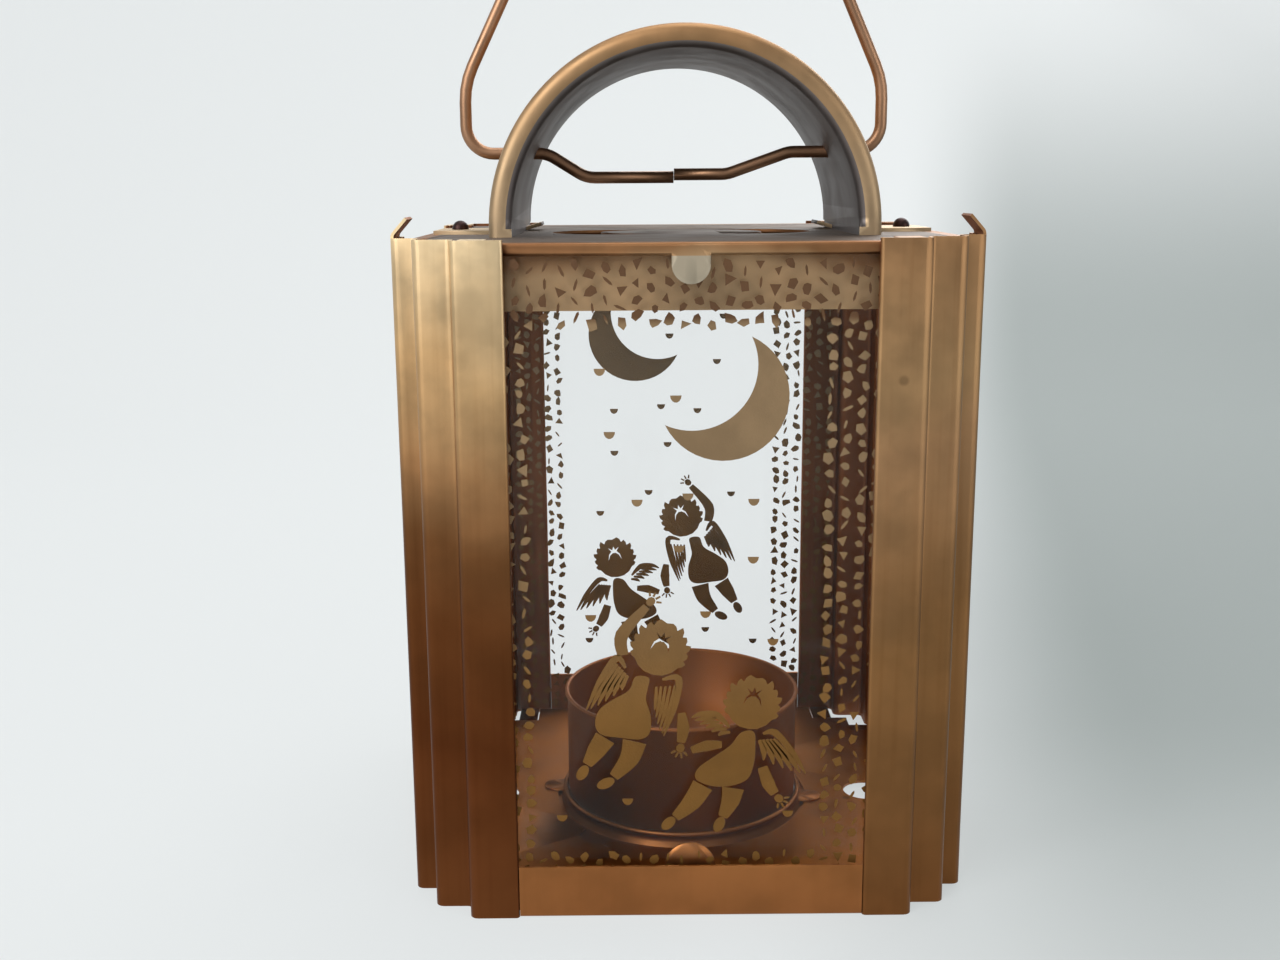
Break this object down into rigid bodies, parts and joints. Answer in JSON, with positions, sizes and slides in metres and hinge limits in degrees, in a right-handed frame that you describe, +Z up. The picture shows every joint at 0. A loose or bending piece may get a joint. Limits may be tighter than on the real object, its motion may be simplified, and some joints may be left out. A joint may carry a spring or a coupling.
{
  "type": "candle lantern",
  "caption": "Square hanging candle lantern with stair-stepped sheet metal corner posts, printed glass panes, an arched strap handle, a wire bail and a twist-lock candle cup.",
  "frame": {"origin": "centre of the footprint, at the height of the bottom edges of the four corner posts", "axes": "+Z up, +X to the right seen from the front, +Y from the front to the back"},
  "size_m": [0.1, 0.1, 0.2224],
  "materials": {
    "gold_sheet": "satin antique gold lacquer on folded sheet, paler at the top, browner below, worn at the folds",
    "tray_sheet": "satin brown gold sheet, fine specks",
    "arch_sheet": "satin gold strap, dull grey underside",
    "clear_glass": "thin clear window glass with a matt gold print",
    "bail_copper": "drawn wire with a dark coppery brown tarnish",
    "dark_rivet": "blackened steel rivet",
    "cup_sheet": "smooth shiny gold brown drawn sheet with a bright rim"
  },
  "bodies": {
    "root": {"base_tray": "tray_sheet", "lid": "tray_sheet", "post_front_left": "gold_sheet", "post_front_right": "gold_sheet", "post_back_left": "gold_sheet", "post_back_right": "gold_sheet", "glass_front": "clear_glass", "glass_back": "clear_glass", "glass_left": "clear_glass", "glass_right": "clear_glass", "arch_handle": "arch_sheet", "arch_rivets": "dark_rivet"},
    "bail": {"bail_wire": "bail_copper"},
    "cup": {"candle_cup": "cup_sheet", "cup_plate": "tray_sheet"}
  },
  "joints": [
    {"name": "bail_swing", "type": "hinge", "parent": "root", "child": "bail", "pos_m": [-0.002, 0, 0.1324], "axis": [1, 0, 0], "range_deg": [-90, 90]},
    {"name": "cup_twist", "type": "hinge", "parent": "root", "child": "cup", "pos_m": [0, 0, 0.0008], "axis": [0, 0, 1], "range_deg": [0, 57]}
  ]
}
